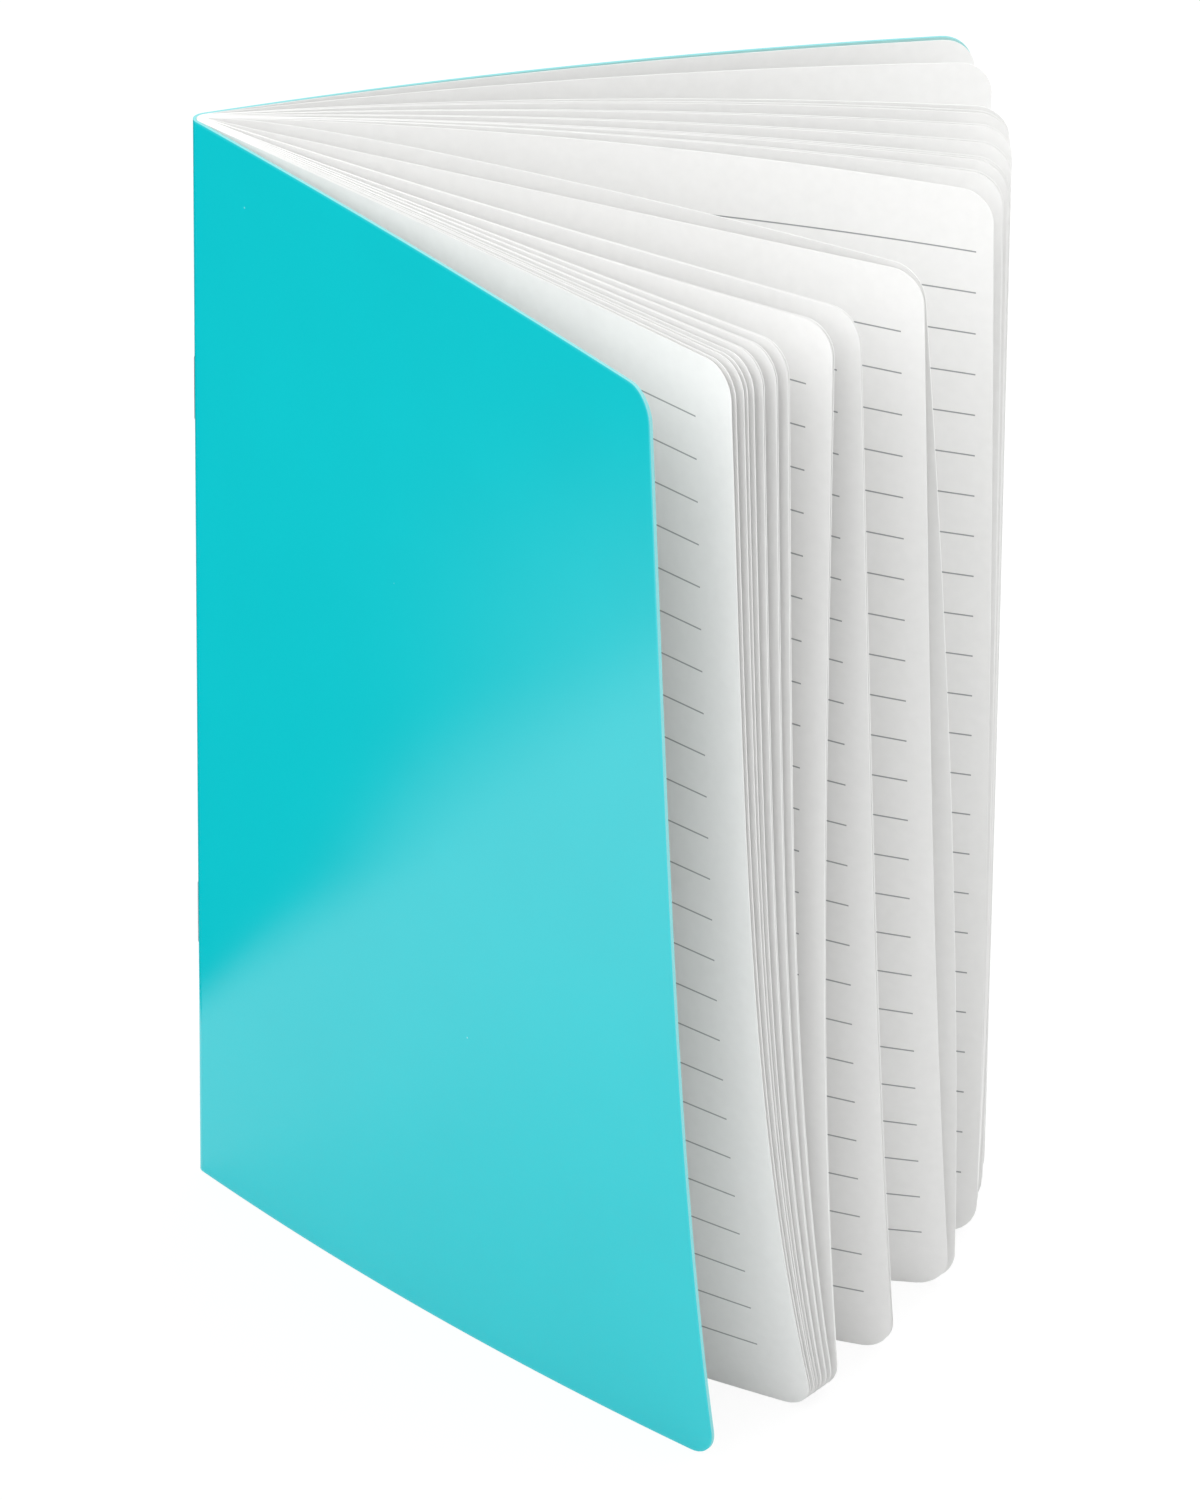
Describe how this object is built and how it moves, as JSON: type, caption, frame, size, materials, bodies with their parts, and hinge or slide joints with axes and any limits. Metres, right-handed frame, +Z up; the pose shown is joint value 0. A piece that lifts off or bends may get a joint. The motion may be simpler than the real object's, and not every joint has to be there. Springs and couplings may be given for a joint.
{
  "type": "notebook",
  "caption": "Soft-cover ruled notebook of folded sheets stapled through the spine, standing open on its lower edges with the leaves fanned.",
  "frame": {"origin": "foot of the spine: the middle of the cover spine strip's lower face, on the surface that the notebook stands on", "axes": "+Z up along the fold, +X from the spine through the middle of the fan, +Y on the back cover's side"},
  "size_m": [0.1459, 0.1767, 0.21],
  "materials": {
    "turquoise_card": "satin",
    "white_paper": "matte",
    "staple_wire": "satin"
  },
  "bodies": {
    "spine": {"cover_spine": "turquoise_card", "staple_upper": "staple_wire", "staple_lower": "staple_wire"},
    "front_cover": {"front_cover": "turquoise_card"},
    "leaf_01": {"leaf_01": "white_paper"},
    "leaf_02": {"leaf_02": "white_paper"},
    "leaf_03": {"leaf_03": "white_paper"},
    "leaf_04": {"leaf_04": "white_paper"},
    "leaf_05": {"leaf_05": "white_paper"},
    "leaf_06": {"leaf_06": "white_paper"},
    "leaf_07": {"leaf_07": "white_paper"},
    "leaf_08": {"leaf_08": "white_paper"},
    "leaf_09": {"leaf_09": "white_paper"},
    "leaf_10": {"leaf_10": "white_paper"},
    "leaf_11": {"leaf_11": "white_paper"},
    "leaf_12": {"leaf_12": "white_paper"},
    "leaf_13": {"leaf_13": "white_paper"},
    "leaf_14": {"leaf_14": "white_paper"},
    "leaf_15": {"leaf_15": "white_paper"},
    "leaf_16": {"leaf_16": "white_paper"},
    "leaf_17": {"leaf_17": "white_paper"},
    "leaf_18": {"leaf_18": "white_paper"},
    "leaf_19": {"leaf_19": "white_paper"},
    "leaf_20": {"leaf_20": "white_paper"},
    "leaf_21": {"leaf_21": "white_paper"},
    "leaf_22": {"leaf_22": "white_paper"},
    "leaf_23": {"leaf_23": "white_paper"},
    "leaf_24": {"leaf_24": "white_paper"},
    "leaf_25": {"leaf_25": "white_paper"},
    "leaf_26": {"leaf_26": "white_paper"},
    "leaf_27": {"leaf_27": "white_paper"},
    "leaf_28": {"leaf_28": "white_paper"},
    "leaf_29": {"leaf_29": "white_paper"},
    "leaf_30": {"leaf_30": "white_paper"},
    "leaf_31": {"leaf_31": "white_paper"},
    "leaf_32": {"leaf_32": "white_paper"},
    "back_cover": {"back_cover": "turquoise_card"}
  },
  "joints": [
    {"name": "leaf_01_turn", "type": "hinge", "parent": "spine", "child": "leaf_01", "pos_m": [0.00265, 0, 0], "axis": [0, 0, 1], "range_deg": [0, 13.6]},
    {"name": "leaf_02_turn", "type": "hinge", "parent": "spine", "child": "leaf_02", "pos_m": [0.00265, 0, 0], "axis": [0, 0, 1], "range_deg": [0, 13.45]},
    {"name": "leaf_03_turn", "type": "hinge", "parent": "spine", "child": "leaf_03", "pos_m": [0.00265, 0, 0], "axis": [0, 0, 1], "range_deg": [0, 13.15]},
    {"name": "leaf_04_turn", "type": "hinge", "parent": "spine", "child": "leaf_04", "pos_m": [0.00265, 0, 0], "axis": [0, 0, 1], "range_deg": [0, 13.02]},
    {"name": "leaf_05_turn", "type": "hinge", "parent": "spine", "child": "leaf_05", "pos_m": [0.00265, 0, 0], "axis": [0, 0, 1], "range_deg": [0, 12.78]},
    {"name": "leaf_06_turn", "type": "hinge", "parent": "spine", "child": "leaf_06", "pos_m": [0.00265, 0, 0], "axis": [0, 0, 1], "range_deg": [0, 12.44]},
    {"name": "leaf_07_turn", "type": "hinge", "parent": "spine", "child": "leaf_07", "pos_m": [0.00265, 0, 0], "axis": [0, 0, 1], "range_deg": [0, 12.38]},
    {"name": "leaf_08_turn", "type": "hinge", "parent": "spine", "child": "leaf_08", "pos_m": [0.00265, 0, 0], "axis": [0, 0, 1], "range_deg": [0, 11.92]},
    {"name": "leaf_09_turn", "type": "hinge", "parent": "spine", "child": "leaf_09", "pos_m": [0.00265, 0, 0], "axis": [0, 0, 1], "range_deg": [0, 11.86]},
    {"name": "leaf_10_turn", "type": "hinge", "parent": "spine", "child": "leaf_10", "pos_m": [0.00265, 0, 0], "axis": [0, 0, 1], "range_deg": [0, 11.44]},
    {"name": "leaf_11_turn", "type": "hinge", "parent": "spine", "child": "leaf_11", "pos_m": [0.00265, 0, 0], "axis": [0, 0, 1], "range_deg": [0, 11.38]},
    {"name": "leaf_12_turn", "type": "hinge", "parent": "spine", "child": "leaf_12", "pos_m": [0.00265, 0, 0], "axis": [0, 0, 1], "range_deg": [0, 10.91]},
    {"name": "leaf_13_turn", "type": "hinge", "parent": "spine", "child": "leaf_13", "pos_m": [0.00265, 0, 0], "axis": [0, 0, 1], "range_deg": [0, 10.89]},
    {"name": "leaf_14_turn", "type": "hinge", "parent": "spine", "child": "leaf_14", "pos_m": [0.00265, 0, 0], "axis": [0, 0, 1], "range_deg": [0, 8.29]},
    {"name": "leaf_15_turn", "type": "hinge", "parent": "spine", "child": "leaf_15", "pos_m": [0.00265, 0, 0], "axis": [0, 0, 1], "range_deg": [0, 8.18]},
    {"name": "leaf_16_turn", "type": "hinge", "parent": "spine", "child": "leaf_16", "pos_m": [0.00265, 0, 0], "axis": [0, 0, 1], "range_deg": [0, 0.37]},
    {"name": "leaf_32_turn", "type": "hinge", "parent": "spine", "child": "leaf_32", "pos_m": [0.00265, 0, 0], "axis": [0, 0, -1], "range_deg": [0, 25.4]},
    {"name": "leaf_31_turn", "type": "hinge", "parent": "spine", "child": "leaf_31", "pos_m": [0.00265, 0, 0], "axis": [0, 0, -1], "range_deg": [0, 21.29]},
    {"name": "leaf_30_turn", "type": "hinge", "parent": "spine", "child": "leaf_30", "pos_m": [0.00265, 0, 0], "axis": [0, 0, -1], "range_deg": [0, 14.19]},
    {"name": "leaf_29_turn", "type": "hinge", "parent": "spine", "child": "leaf_29", "pos_m": [0.00265, 0, 0], "axis": [0, 0, -1], "range_deg": [0, 13.42]},
    {"name": "leaf_28_turn", "type": "hinge", "parent": "spine", "child": "leaf_28", "pos_m": [0.00265, 0, 0], "axis": [0, 0, -1], "range_deg": [0, 12.97]},
    {"name": "leaf_27_turn", "type": "hinge", "parent": "spine", "child": "leaf_27", "pos_m": [0.00265, 0, 0], "axis": [0, 0, -1], "range_deg": [0, 11.13]},
    {"name": "leaf_26_turn", "type": "hinge", "parent": "spine", "child": "leaf_26", "pos_m": [0.00265, 0, 0], "axis": [0, 0, -1], "range_deg": [0, 10.85]},
    {"name": "leaf_25_turn", "type": "hinge", "parent": "spine", "child": "leaf_25", "pos_m": [0.00265, 0, 0], "axis": [0, 0, -1], "range_deg": [0, 8.34]},
    {"name": "leaf_24_turn", "type": "hinge", "parent": "spine", "child": "leaf_24", "pos_m": [0.00265, 0, 0], "axis": [0, 0, -1], "range_deg": [0, 8.04]},
    {"name": "leaf_23_turn", "type": "hinge", "parent": "spine", "child": "leaf_23", "pos_m": [0.00265, 0, 0], "axis": [0, 0, -1], "range_deg": [0, 5.83]},
    {"name": "leaf_22_turn", "type": "hinge", "parent": "spine", "child": "leaf_22", "pos_m": [0.00265, 0, 0], "axis": [0, 0, -1], "range_deg": [0, 5.52]},
    {"name": "leaf_21_turn", "type": "hinge", "parent": "spine", "child": "leaf_21", "pos_m": [0.00265, 0, 0], "axis": [0, 0, -1], "range_deg": [0, 5.49]},
    {"name": "leaf_20_turn", "type": "hinge", "parent": "spine", "child": "leaf_20", "pos_m": [0.00265, 0, 0], "axis": [0, 0, -1], "range_deg": [0, 5.38]},
    {"name": "leaf_19_turn", "type": "hinge", "parent": "spine", "child": "leaf_19", "pos_m": [0.00265, 0, 0], "axis": [0, 0, -1], "range_deg": [0, 5.35]},
    {"name": "leaf_18_turn", "type": "hinge", "parent": "spine", "child": "leaf_18", "pos_m": [0.00265, 0, 0], "axis": [0, 0, -1], "range_deg": [0, 5.16]},
    {"name": "leaf_17_turn", "type": "hinge", "parent": "spine", "child": "leaf_17", "pos_m": [0.00265, 0, 0], "axis": [0, 0, -1], "range_deg": [0, 0.37]},
    {"name": "front_cover_fold", "type": "hinge", "parent": "leaf_01", "child": "front_cover", "pos_m": [0.00082, -0.00232, 0], "axis": [0, 0, -1], "range_deg": [-4, 135]},
    {"name": "back_cover_fold", "type": "hinge", "parent": "leaf_32", "child": "back_cover", "pos_m": [0.00076, 0.00226, 0], "axis": [0, 0, 1], "range_deg": [0, 135]}
  ],
  "couplings": [
    {"joint": "leaf_02_turn", "follows": "leaf_01_turn", "ratio": 0.9876},
    {"joint": "leaf_03_turn", "follows": "leaf_01_turn", "ratio": 0.9657},
    {"joint": "leaf_04_turn", "follows": "leaf_01_turn", "ratio": 0.9556},
    {"joint": "leaf_05_turn", "follows": "leaf_01_turn", "ratio": 0.9384},
    {"joint": "leaf_06_turn", "follows": "leaf_01_turn", "ratio": 0.913},
    {"joint": "leaf_07_turn", "follows": "leaf_01_turn", "ratio": 0.9087},
    {"joint": "leaf_08_turn", "follows": "leaf_01_turn", "ratio": 0.875},
    {"joint": "leaf_09_turn", "follows": "leaf_01_turn", "ratio": 0.8708},
    {"joint": "leaf_10_turn", "follows": "leaf_01_turn", "ratio": 0.8394},
    {"joint": "leaf_11_turn", "follows": "leaf_01_turn", "ratio": 0.8352},
    {"joint": "leaf_12_turn", "follows": "leaf_01_turn", "ratio": 0.801},
    {"joint": "leaf_13_turn", "follows": "leaf_01_turn", "ratio": 0.7989},
    {"joint": "leaf_14_turn", "follows": "leaf_01_turn", "ratio": 0.6083},
    {"joint": "leaf_15_turn", "follows": "leaf_01_turn", "ratio": 0.5998},
    {"joint": "leaf_16_turn", "follows": "leaf_01_turn", "ratio": 0.0256},
    {"joint": "leaf_31_turn", "follows": "leaf_32_turn", "ratio": 0.8375},
    {"joint": "leaf_30_turn", "follows": "leaf_32_turn", "ratio": 0.5578},
    {"joint": "leaf_29_turn", "follows": "leaf_32_turn", "ratio": 0.5277},
    {"joint": "leaf_28_turn", "follows": "leaf_32_turn", "ratio": 0.51},
    {"joint": "leaf_27_turn", "follows": "leaf_32_turn", "ratio": 0.4373},
    {"joint": "leaf_26_turn", "follows": "leaf_32_turn", "ratio": 0.4264},
    {"joint": "leaf_25_turn", "follows": "leaf_32_turn", "ratio": 0.3277},
    {"joint": "leaf_24_turn", "follows": "leaf_32_turn", "ratio": 0.3156},
    {"joint": "leaf_23_turn", "follows": "leaf_32_turn", "ratio": 0.2287},
    {"joint": "leaf_22_turn", "follows": "leaf_32_turn", "ratio": 0.2165},
    {"joint": "leaf_21_turn", "follows": "leaf_32_turn", "ratio": 0.2154},
    {"joint": "leaf_20_turn", "follows": "leaf_32_turn", "ratio": 0.2109},
    {"joint": "leaf_19_turn", "follows": "leaf_32_turn", "ratio": 0.2098},
    {"joint": "leaf_18_turn", "follows": "leaf_32_turn", "ratio": 0.2023},
    {"joint": "leaf_17_turn", "follows": "leaf_32_turn", "ratio": 0.0137}
  ]
}
